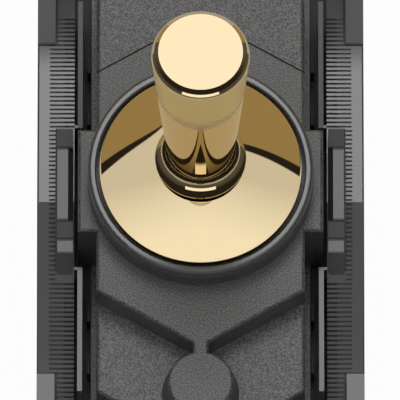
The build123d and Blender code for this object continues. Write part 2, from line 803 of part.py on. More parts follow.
# Two poles, one towards each end of the module: tips, strip, wire cage and screw
for side, sign in (("lower", -1), ("upper", 1)):
    tip_y = plunger_y + sign * tip_spread
    strip_start = plunger_y + sign * (plunger_depth / 2 + strip_inner_gap)
    strip_length = abs(sign * strip_end_y - strip_start)
    for name, foot_z in (("moving_tip", moving_tip_z), ("fixed_tip", fixed_tip_z)):
        with BuildPart() as tip:
            with BuildSketch(Plane.XY.offset(foot_z)):
                with Locations((0, tip_y)):
                    Circle(tip_radius)
            extrude(amount=tip_thickness)
        tip.part.label = f"{name}_{side}"
        export_step(tip.part, f"parts/{name}_{side}.step")

    with BuildPart() as strip:
        with BuildSketch(Plane.XY.offset(strip_z)):
            with Locations((0, (strip_start + sign * strip_end_y) / 2)):
                Rectangle(strip_width, strip_length)
        extrude(amount=strip_thickness)
    strip.part.label = f"contact_strip_{side}"
    export_step(strip.part, f"parts/contact_strip_{side}.step")

    with BuildPart() as cage:
        with BuildSketch(Plane.XZ.offset(-sign * terminal_y)):
            with Locations((0, cage_floor_z)):
                Rectangle(cage_width, cage_top_z - cage_floor_z, align=(Align.CENTER, Align.MIN))
            with Locations((0, cage_floor_z + cage_wall)):
                Rectangle(
                    cage_width - 2 * cage_wall,
                    fixed_tip_z - cage_floor_z - cage_wall,
                    align=(Align.CENTER, Align.MIN),
                    mode=Mode.SUBTRACT,
                )
        extrude(amount=cage_length / 2, both=True)
        with BuildSketch(Plane.XY.offset(cage_floor_z)):
            with Locations((0, sign * terminal_y)):
                Circle(screw_radius + thread_clearance)
        extrude(amount=cage_wall, mode=Mode.SUBTRACT)
    cage.part.label = f"terminal_cage_{side}"
    export_step(cage.part, f"parts/terminal_cage_{side}.step")

    with BuildPart() as screw:
        with BuildSketch(Plane.XY.offset(screw_head_z)):
            with Locations((0, sign * terminal_y)):
                Circle(screw_head_radius)
        extrude(amount=screw_head_height)
        with BuildSketch(Plane.XY.offset(screw_head_z)):
            with Locations((0, sign * terminal_y)):
                Circle(screw_radius)
        extrude(amount=screw_tip_z - screw_head_z)
        with BuildSketch(Plane.XY.offset(screw_head_z)):
            with Locations((0, sign * terminal_y)):
                Rectangle(2 * screw_head_radius, screw_slot_width)
        extrude(amount=screw_slot_depth, mode=Mode.SUBTRACT)
    screw.part.label = f"terminal_screw_{side}"
    export_step(screw.part, f"parts/terminal_screw_{side}.step")

# Rear housing: a tub with the terminals' screw and wire holes, ribs under the strips, and a hook each side
wire_z = (screw_tip_z + strip_z) / 2
with BuildPart() as rear_housing:
    with BuildSketch():
        RectangleRounded(housing_width, housing_length, housing_corner_round)
    extrude(amount=housing_height)
    chamfer(rear_housing.faces().sort_by(Axis.Z)[0].edges(), housing_back_chamfer)
    with BuildSketch(Plane.XY.offset(housing_floor)):
        Rectangle(2 * (upper_half_width - ledge_width), 2 * (upper_half_length - ledge_width))
    extrude(amount=chassis_z - housing_floor, mode=Mode.SUBTRACT)
    with BuildSketch(Plane.XY.offset(chassis_z)):
        Rectangle(2 * upper_half_width, 2 * upper_half_length)
    extrude(amount=housing_height - chassis_z, mode=Mode.SUBTRACT)
    # Ribs that carry the two strips, each at its share of the way from the tip to the cage
    with BuildSketch(Plane.XY.offset(housing_floor)):
        for sign, shares in ((-1, lower_rib_shares), (1, upper_rib_shares)):
            rib_from = plunger_y + sign * tip_spread
            rib_to = sign * (terminal_y - cage_length / 2)
            for share in shares:
                with Locations((0, rib_from + share * (rib_to - rib_from))):
                    Rectangle(housing_rib_width, housing_rib)
    extrude(amount=strip_z - housing_floor)
    # Ledges and guides round each cage
    ledge_x = cage_width / 2 - cage_wall
    guide_x = cage_width / 2 + cheek_gap
    guide_end_x = guide_x + housing_rib / 2
    with BuildSketch(Plane.XY.offset(housing_floor)):
        for x_sign in (-1, 1):
            for y_sign in (-1, 1):
                with Locations((x_sign * (ledge_x + guide_end_x) / 2, y_sign * terminal_y)):
                    Rectangle(guide_end_x - ledge_x, cage_length)
    extrude(amount=cage_floor_z - housing_floor)
    with BuildSketch(Plane.XY.offset(cage_floor_z)):
        for x_sign in (-1, 1):
            for y_sign in (-1, 1):
                with Locations((x_sign * (guide_x + guide_end_x) / 2, y_sign * terminal_y)):
                    Rectangle(guide_end_x - guide_x, cage_length)
    extrude(amount=strip_z - cage_floor_z)
    # Post for the return spring
    with BuildSketch(Plane.XY.offset(housing_floor)):
        with Locations((0, plunger_y)):
            Circle(spring_post_radius)
    extrude(amount=spring_post_z - housing_floor)
    with BuildSketch(Plane.XY.offset(spring_post_z)):
        with Locations((0, plunger_y)):
            Circle(plunger_nub_radius)
    extrude(amount=plunger_nub_height)
    # Screw holes in the back, wire holes in the ends
    with BuildSketch():
        with Locations((0, -terminal_y), (0, terminal_y)):
            Circle(screw_access_radius)
    extrude(amount=housing_floor, mode=Mode.SUBTRACT)
    for sign in (-1, 1):
        end_wall = (0, sign * housing_length / 2, wire_z)
        end_plane = Plane(origin=end_wall, x_dir=(1, 0, 0), z_dir=(0, sign, 0))
        with Locations(end_plane):
            with Locations((-wire_hole_spread, 0), (wire_hole_spread, 0)):
                Hole(wire_hole_radius, depth=housing_wall + ledge_width)
                Cone(
                    wire_hole_radius,
                    wire_funnel_radius,
                    wire_funnel_depth,
                    align=(Align.CENTER, Align.CENTER, Align.MAX),
                    mode=Mode.SUBTRACT,
                )
    # Hooks
    hook_top = clip_z + clip_window_height - clip_clearance
    hook_foot = clip_z + clip_clearance
    for sign in (-1, 1):
        with BuildSketch(Plane.XZ):
            with BuildLine():
                Polyline(
                    (sign * (housing_width / 2 - hook_reach), hook_top),
                    (sign * (housing_width / 2 + hook_reach), hook_top),
                    (sign * housing_width / 2, hook_foot),
                    (sign * (housing_width / 2 - hook_reach), hook_foot),
                    close=True,
                )
            make_face()
        extrude(amount=clip_window_width / 2 - clip_clearance, both=True)
rear_housing.part.label = "rear_housing"
export_step(rear_housing.part, "parts/rear_housing.step")
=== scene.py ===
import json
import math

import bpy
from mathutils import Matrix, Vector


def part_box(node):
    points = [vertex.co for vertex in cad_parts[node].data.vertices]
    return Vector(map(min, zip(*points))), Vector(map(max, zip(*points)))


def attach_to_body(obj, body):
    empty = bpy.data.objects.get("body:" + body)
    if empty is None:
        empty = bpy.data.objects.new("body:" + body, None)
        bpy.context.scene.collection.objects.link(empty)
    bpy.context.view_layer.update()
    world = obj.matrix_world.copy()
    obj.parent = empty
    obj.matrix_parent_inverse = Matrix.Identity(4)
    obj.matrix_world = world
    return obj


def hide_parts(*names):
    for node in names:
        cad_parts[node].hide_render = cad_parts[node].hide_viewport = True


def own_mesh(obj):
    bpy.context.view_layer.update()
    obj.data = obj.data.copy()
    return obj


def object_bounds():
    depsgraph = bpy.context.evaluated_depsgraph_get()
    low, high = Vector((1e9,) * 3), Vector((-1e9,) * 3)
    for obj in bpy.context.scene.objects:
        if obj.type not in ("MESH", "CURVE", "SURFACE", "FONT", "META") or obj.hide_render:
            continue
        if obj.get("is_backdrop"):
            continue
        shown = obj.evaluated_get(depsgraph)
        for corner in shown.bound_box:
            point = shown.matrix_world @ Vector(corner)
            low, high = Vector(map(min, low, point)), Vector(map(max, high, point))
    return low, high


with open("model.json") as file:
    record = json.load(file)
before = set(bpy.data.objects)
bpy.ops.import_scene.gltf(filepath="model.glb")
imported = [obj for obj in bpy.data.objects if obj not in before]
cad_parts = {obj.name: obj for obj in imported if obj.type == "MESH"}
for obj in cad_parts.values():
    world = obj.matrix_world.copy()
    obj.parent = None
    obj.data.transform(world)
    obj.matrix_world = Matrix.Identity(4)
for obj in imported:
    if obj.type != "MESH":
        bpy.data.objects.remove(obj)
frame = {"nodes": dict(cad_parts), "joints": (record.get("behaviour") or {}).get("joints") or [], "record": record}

# %% [markdown]
# # A gilt lever on a black module
# This lesson dresses a small switch module for the camera: a black moulded body, a domed gilt disc
# and a gilt lever that leans a little. The solids arrive at their real size, in metres, with the
# module on its back and its front up. Nothing here changes their size. Some shine needs a rounder
# mesh than a solid brings, so the two gilt pieces are turned again from their profiles.

nodes = frame["nodes"]
solid_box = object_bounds()
MM = 0.001
print("solids:", len(nodes), "from", tuple(solid_box[0]), "to", tuple(solid_box[1]))

# %% [markdown]
# ## Shader maths as plain expressions
# A finish is a small network of nodes, and a network is hard to read as code. So one class wraps a
# node's output, and adding or multiplying two of them adds the Math node that does it. Every other
# kind of node comes from one method, which takes the settings first and then the inputs.

# %% A wire between shader nodes


class Wire:
    """An output in a node tree. Arithmetic on it adds Math nodes."""

    def __init__(self, tree, socket=None):
        self.tree = tree
        self.socket = socket

    def node(self, kind, settings=None, inputs=None, output=0):
        """A new node of that kind: settings are set first, then inputs by name or number."""
        made = self.tree.nodes.new(kind)
        for name, value in (settings or {}).items():
            setattr(made, name, value)
        for name, value in (inputs or {}).items():
            if isinstance(value, Wire):
                self.tree.links.new(value.socket, made.inputs[name])
            else:
                made.inputs[name].default_value = value
        return Wire(self.tree, made.outputs[output])

    def math(self, operation, *values):
        """A Math node on numbers or wires."""
        return self.node("ShaderNodeMath", {"operation": operation}, dict(enumerate(values)))

    def __add__(self, other):
        return self.math("ADD", self, other)

    __radd__ = __add__

    def __sub__(self, other):
        return self.math("SUBTRACT", self, other)

    def __rsub__(self, other):
        return self.math("SUBTRACT", other, self)

    def __mul__(self, other):
        return self.math("MULTIPLY", self, other)

    __rmul__ = __mul__

    def ramp_up(self, start, end):
        """0 below start, 1 above end and a smooth rise between."""
        settings = {"interpolation_type": "SMOOTHSTEP"}
        inputs = {0: self, 1: start, 2: end, 3: 0.0, 4: 1.0}
        return self.node("ShaderNodeMapRange", settings, inputs)

    def past(self, edge, blur):
        """0 before an edge and 1 past it, blurred by that much on both sides."""
        return self.ramp_up(edge - blur, edge + blur)

    def within(self, start, end, blur):
        """1 between two edges and 0 outside them."""
        return self.past(start, blur) * (1 - self.past(end, blur))

    def part(self, axis):
        """The X, Y or Z of a vector."""
        return self.node("ShaderNodeSeparateXYZ", None, {0: self}, output=axis)

    def along(self, direction):
        """How far a vector reaches along a direction: their dot product."""
        settings = {"operation": "DOT_PRODUCT"}
        return self.node(
            "ShaderNodeVectorMath", settings, {0: self, 1: direction}, output="Value"
        )

    def blend(self, low, high):
        """The colour low where this wire is 0, and high where it is 1."""
        settings = {"data_type": "RGBA"}
        return self.node("ShaderNodeMix", settings, {0: self, 6: low, 7: high}, output=2)


def grey(level):
    """A neutral colour."""
    return (level, level, level, 1.0)


print("wires ready")

# %% [markdown]
# ## Finishes
# Each finish is one Principled shader. Whatever is the same all over a piece goes straight on the
# shader's own sockets. Only what changes from place to place is wired: the grain of the moulded
# plastic and its slight unevenness of tone.

# %% A new finish


def new_finish(name, colour, roughness, **constants):
    """A material, a wire in its tree and its shader, with the constants already set."""
    finish = bpy.data.materials.new(name)
    finish.use_nodes = True
    shader = finish.node_tree.nodes["Principled BSDF"]
    shader.inputs["Base Color"].default_value = (*colour, 1.0)
    shader.inputs["Roughness"].default_value = roughness
    for socket, value in constants.items():
        shader.inputs[socket.replace("_", " ")].default_value = value
    return finish, Wire(finish.node_tree), shader


def attach(wire, shader, socket):
    """Join a wire to one of the shader's sockets."""
    wire.tree.links.new(wire.socket, shader.inputs[socket])


# %% [markdown]
# ### Grained black plastic
# The mould that made the cover was spark eroded, which leaves fine pits all over it. A bump from a
# noise a tenth of a millimetre across gives the pits, and the same noise lightens and darkens the
# plastic, because a pit's floor reflects less. Some places of a mould are polished, and there the
# pits fade out and the plastic shines. A narrow place can also get painted shade, a near-black and
# rougher band. Functions say where, from the place on the piece.

# %% Grained plastic
GRAIN_SIZE = 0.09 * MM
GRAIN_DETAIL = 1.0
TONE_DARK = 0.35
TONE_LIGHT = 0.65
TONE_MIDDLE = 0.5
POLISHED_ROUGHNESS = 0.2
# Roughness and level of the band of painted shade, a near-black colour standing in for shade
PAINTED_SHADE_ROUGHNESS = 0.9
PAINTED_SHADE_LEVEL = 0.006


def grained_plastic(name, level, roughness, depth, spread, polished=None, painted_shade=None):
    """Moulded plastic of that grey level, with pits of that depth and tones of that spread."""
    finish, wire, shader = new_finish(name, (level, level, level), roughness)
    place = wire.node("ShaderNodeTexCoord", output="Object")
    noise = wire.node(
        "ShaderNodeTexNoise",
        None,
        {"Vector": place, "Scale": 1 / GRAIN_SIZE, "Detail": GRAIN_DETAIL},
    )
    tone = noise.ramp_up(TONE_DARK, TONE_LIGHT)
    tones = (grey(level * (1 - spread)), grey(level * (1 + spread)))
    if polished:
        polish = polished(place)
        noise = noise * (1 - polish)
        tone = tone + (TONE_MIDDLE - tone) * polish
        roughness = roughness - polish * (roughness - POLISHED_ROUGHNESS)
    tone = tone.blend(*tones)
    # Painted shade: a narrow band turns near-black and rougher in place of shade
    if painted_shade:
        painted_shade_mask = painted_shade(place)
        roughness = roughness + painted_shade_mask * (PAINTED_SHADE_ROUGHNESS - roughness)
        tone = painted_shade_mask.blend(tone, grey(PAINTED_SHADE_LEVEL))
    if polished or painted_shade:
        attach(roughness, shader, "Roughness")
    attach(tone, shader, "Base Color")
    bump = wire.node(
        "ShaderNodeBump", None, {"Height": noise, "Strength": 1.0, "Distance": depth}
    )
    attach(bump, shader, "Normal")
    return finish, shader


# %% [markdown]
# ### Where the moulds are polished
# The collar round the disc is smooth, unlike the plate it stands on. On the frame, ribs and rails
# have a sheen, but the floors of the slots between them lie too deep in the mould to be polished.
# The photograph also shows a thin dark line of shade along the rear edge of the hexagon. The small
# round there shows it too pale, so the finish gets a narrow band of painted shade.

# %% The four plastics
COLLAR_RADIUS = 7.8 * MM
COLLAR_FOOT = 32.3 * MM
SLOT_FLOOR = 25.3 * MM
SLOT_TOP = 26.0 * MM
POLISH_BLUR = 0.05 * MM
COVER_SHINE = 0.8
# Where the band of painted shade runs: the step's slope and apex, the band's width, its lowest height
STEP_SLOPE = math.tan(math.radians(30))
STEP_APEX = 12.18 * MM
PAINTED_SHADE_WIDTH = 0.24 * MM
STEP_FOOT = 30.5 * MM


def on_collar(place):
    """1 on the collar, from the distance to the module's middle and the height."""
    x = place.part("X")
    y = place.part("Y")
    square = x * x + y * y
    radius = square.math("SQRT", square)
    high = place.part("Z").ramp_up(COLLAR_FOOT, COLLAR_FOOT + POLISH_BLUR)
    return high * (1 - radius.ramp_up(COLLAR_RADIUS, COLLAR_RADIUS + POLISH_BLUR))


def painted_step_shade(place):
    """Painted shade: 1 along the hexagon's rear edge, where the plate steps down to its upper end."""
    x = place.part("X")
    reach = place.part("Y") + x.math("ABSOLUTE", x) * STEP_SLOPE
    near = reach.ramp_up(STEP_APEX - PAINTED_SHADE_WIDTH, STEP_APEX - PAINTED_SHADE_WIDTH + POLISH_BLUR)
    return near * place.part("Z").ramp_up(STEP_FOOT, STEP_FOOT + POLISH_BLUR)


def above_slots(place):
    """1 on what stands higher than the frame's slots."""
    return place.part("Z").ramp_up(SLOT_FLOOR, SLOT_TOP)


cover_plastic, cover_shader = grained_plastic(
    "cover_plastic",
    level=0.049,
    roughness=0.4,
    depth=0.02 * MM,
    spread=0.95,
    polished=on_collar,
    # a narrow band of painted shade along the hexagon's rear edge
    painted_shade=painted_step_shade,
)
cover_shader.inputs["Specular IOR Level"].default_value = COVER_SHINE
frame_plastic, _ = grained_plastic(
    "frame_plastic",
    level=0.042,
    roughness=0.7,
    depth=0.0015 * MM,
    spread=0.1,
    polished=above_slots,
)
housing_plastic, _ = grained_plastic(
    "housing_plastic", level=0.03, roughness=0.45, depth=0.006 * MM, spread=0.1
)
carrier_plastic, _ = grained_plastic(
    "carrier_plastic", level=0.04, roughness=0.4, depth=0.002 * MM, spread=0.05
)
plastics = (cover_plastic, frame_plastic, housing_plastic, carrier_plastic)
print("plastics:", *(plastic.name for plastic in plastics))

# %% [markdown]
# ### Metals
# The gilt is a mirror with a warm colour, so what it shows is mostly the studio round it. The
# contacts and screws are hidden in use, and need no more than a plain metal.

# %% Metals
GILT_COLOUR = (0.88, 0.72, 0.44)
GILT_ROUGHNESS = 0.015

STEEL_COLOUR = (0.6, 0.6, 0.62)
STEEL_ROUGHNESS = 0.3
BRASS_COLOUR = (0.75, 0.58, 0.3)
BRASS_ROUGHNESS = 0.28
SILVER_COLOUR = (0.85, 0.85, 0.83)
SILVER_ROUGHNESS = 0.25

gilt, _, _ = new_finish("gilt", GILT_COLOUR, GILT_ROUGHNESS, Metallic=1.0)
steel, _, _ = new_finish("steel", STEEL_COLOUR, STEEL_ROUGHNESS, Metallic=1.0)
contact_brass, _, _ = new_finish("contact_brass", BRASS_COLOUR, BRASS_ROUGHNESS, Metallic=1.0)
silver, _, _ = new_finish("silver", SILVER_COLOUR, SILVER_ROUGHNESS, Metallic=1.0)
print("metals:", gilt.name, steel.name, contact_brass.name, silver.name)

# %% [markdown]
# ### Which piece wears which finish
# Every piece belongs to a slot of the part's record, so the finishes are handed out by slot.

# %% Hand out the finishes
FINISHES = {
    "cover_plastic": cover_plastic,
    "frame_plastic": frame_plastic,
    "housing_plastic": housing_plastic,
    "carrier_plastic": carrier_plastic,
    "gilt": gilt,
    "steel": steel,
    "contact_brass": contact_brass,
    "silver": silver,
}
slots = {part["node"]: part["material_slot"] for part in frame["record"]["subparts"]}
for name, solid in nodes.items():
    solid.data.materials.clear()
    solid.data.materials.append(FINISHES[slots[name]])
print("dressed:", len(slots), "pieces")

# %% [markdown]
# ## Turned pieces
# The lever and the disc are both bodies of revolution, and their shine shows every facet. A lathe
# function turns a profile of radius and height round an axis in many small steps. The profile is a
# list of runs, and a sharp corner is kept where two runs meet at an angle. A profile that starts or
# ends on the axis is closed there with a cap.

# %% A lathe
TURNS = 256
SHARP_ANGLE = math.radians(10)
ON_AXIS = 1e-6


def arc(centre, radius, start, end, steps):
    """Points along an arc, with angles in degrees from the outward direction towards the height."""
    points = []
    for step in range(steps + 1):
        angle = math.radians(start + (end - start) * step / steps)
        points.append(
            (centre[0] + radius * math.cos(angle), centre[1] + radius * math.sin(angle))
        )
    return points


def lathe(name, profile, foot, direction, finish):
    """Turn a profile of (radius, height) points round the axis through foot along direction."""
    across = Vector((1, 0, 0))
    along = direction.cross(across)
    vertices = []
    faces = []
    for radius, height in profile:
        for turn in range(TURNS):
            angle = 2 * math.pi * turn / TURNS
            around = across * math.cos(angle) + along * math.sin(angle)
            vertices.append(foot + direction * height + around * radius)
    rings = len(profile)
    for ring in range(rings - 1):
        for turn in range(TURNS):
            following = (turn + 1) % TURNS
            low = ring * TURNS
            high = (ring + 1) * TURNS
            faces.append((low + turn, low + following, high + following, high + turn))
    if profile[0][0] <= ON_AXIS:
        faces.append(tuple(range(TURNS))[::-1])
    if profile[-1][0] <= ON_AXIS:
        faces.append(tuple(range((rings - 1) * TURNS, rings * TURNS)))
    mesh = bpy.data.meshes.new(name)
    mesh.from_pydata([tuple(vertex) for vertex in vertices], [], faces)
    mesh.shade_smooth()
    mesh.set_sharp_from_angle(angle=SHARP_ANGLE)
    mesh.materials.append(finish)
    piece = bpy.data.objects.new(name, mesh)
    bpy.context.scene.collection.objects.link(piece)
    print(name, "has", len(faces), "faces")
    return piece


# %% [markdown]
# ### The gilt lever
# The lever tapers towards its foot, then flares into a thin skirt that hides the disc's hole in
# every position. Its cap is flat. A chamfer and a narrow, steeper facet run round the cap's edge,
# and a round joins them to the side. The facet is what mirrors the window in front as a thin white
# arc. At rest the lever leans away from the module's lower end. The hinge below the disc is the
# point that all its heights are measured from.

# %% The lever's profile
PIVOT = Vector(frame["joints"][0]["pos_m"])
REST_LEAN = math.radians(4.5)
LEVER_LENGTH = 20.64 * MM
LEVER_TOP_RADIUS = 3.37 * MM
LEVER_TAPER = math.radians(4.1)
CAP_FLAT_RADIUS = 2.853 * MM
CAP_CHAMFER = 0.28 * MM
CHAMFER_SLOPE = math.radians(40.0)
CAP_FACET = 0.1 * MM
FACET_SLOPE = math.radians(50.5)
SKIRT_RADIUS = 3.1 * MM
SKIRT_HEIGHT = 4.57 * MM
SKIRT_THICKNESS = 0.12 * MM
SKIRT_SLOPE = math.radians(28.0)
BORE_RADIUS = 1.55 * MM
BORE_DEPTH = 5.5 * MM
SHADING_EDGE = 0.03 * MM
UNDERSIDE_STEPS = 12
FLARE_STEPS = 24
CAP_STEPS = 16

lever_direction = Vector((0, math.sin(REST_LEAN), math.cos(REST_LEAN)))
skirt_top = SKIRT_HEIGHT + SKIRT_THICKNESS
flare = SKIRT_RADIUS - LEVER_TOP_RADIUS + (LEVER_LENGTH - skirt_top) * math.tan(LEVER_TAPER)
flare_share = math.cos(LEVER_TAPER) - math.sin(SKIRT_SLOPE)
flare_share += (math.cos(SKIRT_SLOPE) + math.sin(LEVER_TAPER)) * math.tan(LEVER_TAPER)
flare_radius = flare / flare_share
flare_centre = (
    SKIRT_RADIUS + flare_radius * math.sin(SKIRT_SLOPE),
    skirt_top + flare_radius * math.cos(SKIRT_SLOPE),
)
# A chamfer and a steeper facet go down from the cap, and a round joins them to the tapered side
chamfer_foot = (
    CAP_FLAT_RADIUS + CAP_CHAMFER,
    LEVER_LENGTH - CAP_CHAMFER * math.tan(CHAMFER_SLOPE),
)
facet_foot = (chamfer_foot[0] + CAP_FACET, chamfer_foot[1] - CAP_FACET * math.tan(FACET_SLOPE))
side_run = LEVER_TOP_RADIUS - facet_foot[0]
side_run -= (LEVER_LENGTH - facet_foot[1]) * math.tan(LEVER_TAPER)
round_share = math.cos(LEVER_TAPER) - math.sin(FACET_SLOPE)
round_share += (math.cos(FACET_SLOPE) + math.sin(LEVER_TAPER)) * math.tan(LEVER_TAPER)
cap_round = side_run / round_share
round_centre = (
    facet_foot[0] - cap_round * math.sin(FACET_SLOPE),
    facet_foot[1] - cap_round * math.cos(FACET_SLOPE),
)
skirt_ball = math.hypot(SKIRT_RADIUS, SKIRT_HEIGHT)
bore_foot = math.sqrt(skirt_ball**2 - BORE_RADIUS**2)


def side_point(height):
    """A point on the lever's tapered side."""
    return (LEVER_TOP_RADIUS - (LEVER_LENGTH - height) * math.tan(LEVER_TAPER), height)


def lever_profile():
    """The lever's section from its blind bore, under the skirt, up the side and over the cap."""
    profile = [(ON_AXIS, bore_foot + BORE_DEPTH), (BORE_RADIUS, bore_foot + BORE_DEPTH)]
    start = math.degrees(math.atan2(bore_foot, BORE_RADIUS))
    end = math.degrees(math.atan2(SKIRT_HEIGHT, SKIRT_RADIUS))
    profile += arc((0, 0), skirt_ball, start, end, UNDERSIDE_STEPS)
    slope = math.degrees(SKIRT_SLOPE)
    taper = math.degrees(LEVER_TAPER)
    facet = math.degrees(FACET_SLOPE)
    profile += arc(flare_centre, flare_radius, 270 - slope, 180 - taper, FLARE_STEPS)
    cap_arc = arc(round_centre, cap_round, -taper, 90 - facet, CAP_STEPS)
    # Two points close to the arcs keep the bend of the shading away from the straight side
    profile.append(side_point(profile[-1][1] + SHADING_EDGE))
    profile.append(side_point(cap_arc[0][1] - SHADING_EDGE))
    profile += cap_arc
    profile.append(chamfer_foot)
    profile.append((CAP_FLAT_RADIUS, LEVER_LENGTH))
    profile.append((ON_AXIS, LEVER_LENGTH))
    return profile


print("lever's flare radius in mm:", round(flare_radius / MM, 3))

# %% [markdown]
# ### A band of painted reflection on the lever
# The real lever is polished all over. Its side mirrors the disc, and here the upper part of it also
# mirrors the collar and the cover beyond, as dark arcs that the photograph doesn't show. So the
# gilt turns to a soft, rough finish there, with a tan colour painted in place of what the side
# mirrors in the photograph: a painted reflection. This is a compromise: the tip of the dark spike
# is lost with the arcs. The height along the lever decides, so the band leans with it, and the cap
# and the foot keep their polish.

# %% The lever's finish
# The band of painted reflection: where it starts, is full and ends, where the polish comes back, and its tan
PAINTED_REFLECTION_START = 13.8 * MM
PAINTED_REFLECTION_FULL = 16.8 * MM
PAINTED_REFLECTION_END = 20.0 * MM
POLISHED_AGAIN = 20.2 * MM
PAINTED_REFLECTION_ROUGHNESS = 0.35
PAINTED_REFLECTION_METALLIC = 0.08
PAINTED_REFLECTION_SHINE = 0.2
PAINTED_REFLECTION_COLOUR = (1.0, 0.715, 0.285, 1.0)

lever_gilt_and_painted_reflection, lever_wire, lever_shader = new_finish(
    "lever_gilt_and_painted_reflection", GILT_COLOUR, GILT_ROUGHNESS, Specular_IOR_Level=PAINTED_REFLECTION_SHINE
)
lever_place = lever_wire.node("ShaderNodeTexCoord", output="Object")
lever_height = lever_place.along(lever_direction) - PIVOT.dot(lever_direction)
# How much painted reflection there is at each height along the lever
painted_reflection = lever_height.ramp_up(PAINTED_REFLECTION_START, PAINTED_REFLECTION_FULL)
painted_reflection = painted_reflection * (1 - lever_height.ramp_up(PAINTED_REFLECTION_END, POLISHED_AGAIN))
painted_reflection_roughness = GILT_ROUGHNESS + painted_reflection * (PAINTED_REFLECTION_ROUGHNESS - GILT_ROUGHNESS)
attach(painted_reflection_roughness, lever_shader, "Roughness")
attach(1 - painted_reflection * (1 - PAINTED_REFLECTION_METALLIC), lever_shader, "Metallic")
# Base colour: the tan of the painted reflection inside the band, gilt elsewhere
attach(painted_reflection.blend((*GILT_COLOUR, 1.0), PAINTED_REFLECTION_COLOUR), lever_shader, "Base Color")

gilt_lever = lathe("gilt_lever", lever_profile(), PIVOT, lever_direction, lever_gilt_and_painted_reflection)
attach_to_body(gilt_lever, "lever_body")
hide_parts("lever")
painted_reflection_heights = (round(PAINTED_REFLECTION_START / MM, 1), round(PAINTED_REFLECTION_END / MM, 1))
print("satin between these heights above the hinge, in mm:", painted_reflection_heights)

# %% [markdown]
# ### The gilt disc
# The disc is pressed from sheet into a very shallow dome with a turned-down rim. The dome's slope
# is what bends the black lines of the reflected studio, so it is turned from the same arc as the
# solid. The arc's centre lies a little past the axis, so the dome slopes even beside its hole.

# %% The disc's profile
DISC_RADIUS = 6.89 * MM
DISC_SHEET = 0.55 * MM
DISC_HOLE_RADIUS = 2.1 * MM
DOME_RADIUS = 45.3 * MM
DOME_RIM_SLOPE = math.radians(13.5)
DISC_EDGE_ROUND = 0.02 * MM
DISC_EDGE_START = 76
DOME_STEPS = 48
EDGE_STEPS = 8
INSIDE_STEPS = 24

disc_low, disc_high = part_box("escutcheon_disc")
dome_middle = DISC_RADIUS - DOME_RADIUS * math.sin(DOME_RIM_SLOPE)
dome_depth = DOME_RADIUS * math.cos(DOME_RIM_SLOPE)
hole_depth = math.sqrt(DOME_RADIUS**2 - (DISC_HOLE_RADIUS - dome_middle) ** 2)
rim_height = disc_high.z - (hole_depth - dome_depth)
dome_centre = (dome_middle, rim_height - dome_depth)


def angle_on_dome(radius, ball):
    """The arc angle at which a circle of that size about the dome's centre has that radius."""
    return math.degrees(math.acos((radius - dome_centre[0]) / ball))


def disc_profile():
    """The disc's section: over the dome, down the rim, up inside and back to the hole."""
    under = DOME_RADIUS - DISC_SHEET
    inside = DISC_RADIUS - DISC_SHEET
    edge_start = angle_on_dome(DISC_RADIUS - DISC_EDGE_ROUND, DOME_RADIUS)
    dome_start = angle_on_dome(DISC_HOLE_RADIUS, DOME_RADIUS)
    profile = arc(dome_centre, DOME_RADIUS, dome_start, edge_start, DOME_STEPS)
    edge = (DISC_RADIUS - DISC_EDGE_ROUND, profile[-1][1] - DISC_EDGE_ROUND)
    profile += arc(edge, DISC_EDGE_ROUND, DISC_EDGE_START, 0, EDGE_STEPS)
    profile += [(DISC_RADIUS, disc_low.z), (inside, disc_low.z)]
    inside_start = angle_on_dome(inside, under)
    inside_end = angle_on_dome(DISC_HOLE_RADIUS, under)
    profile += arc(dome_centre, under, inside_start, inside_end, INSIDE_STEPS)
    profile.append(profile[0])
    return profile


gilt_disc = lathe("gilt_disc", disc_profile(), Vector((0, 0, 0)), Vector((0, 0, 1)), gilt)
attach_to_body(gilt_disc, "module")
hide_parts("escutcheon_disc")
print("disc's rim stands at", round(rim_height / MM, 2), "mm")

# %% [markdown]
# ## The return spring
# Inside, a coil spring pushes the plunger up under the lever. When the lever tilts, the plunger
# goes down and the spring is pressed shorter, which no rigid piece can follow. So the spring's
# solid is copied into a piece of its own, and the share of its length kept at full travel is worked
# out. The piece is not squashed here.

# %% The return spring
spring_low, spring_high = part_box("return_spring")
travel = next(joint for joint in frame["joints"] if joint["name"] == "plunger_travel")
spring_length = spring_high.z - spring_low.z
spring_keep = 1 - travel["range_m"][1] / spring_length

return_coil = bpy.data.objects.new("return_coil", nodes["return_spring"].data.copy())
bpy.context.scene.collection.objects.link(return_coil)
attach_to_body(return_coil, "module")
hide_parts("return_spring")
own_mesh(return_coil)
print("spring's length in mm:", round(spring_length / MM, 2), "share kept:", round(spring_keep, 3))

# %% [markdown]
# ## The studio
# The picture was taken from the front and a little below, from far away, under one large lamp panel
# overhead. Polished metal shows the studio it stands in, so its look can only be matched by
# rebuilding that studio. Here the studio is a sky of three parts, and the kind of ray decides which
# one counts. Glossy rays see the studio of the next cells, diffuse rays get a plain soft light from
# overhead, and the camera sees white.
#
# The panel hangs level one unit above the module. Dividing a direction by its upward part gives the
# place on that level where it arrives, and there the panel's far edges are straight lines. Behind
# them a thin dark seam follows, and behind that a dim warm wall. The panel is brightest right
# overhead and dims towards the back.

# %% The panel overhead
PANEL_LEVEL = 1.03
PANEL_DIMMING = 1.1
PANEL_DIM_END = 0.31
PANEL_HALF_WIDTH = 0.56
PANEL_FRONT = 0.35
LEFT_EDGE = (1.083, 1.336)
RIGHT_EDGE = (0.776, -0.75)
LEFT_SEAM_END = (1.027, 1.06)
RIGHT_SEAM_END = (0.806, -0.676)
EDGE_BLUR = 0.006
LEAST_RISE = 0.01

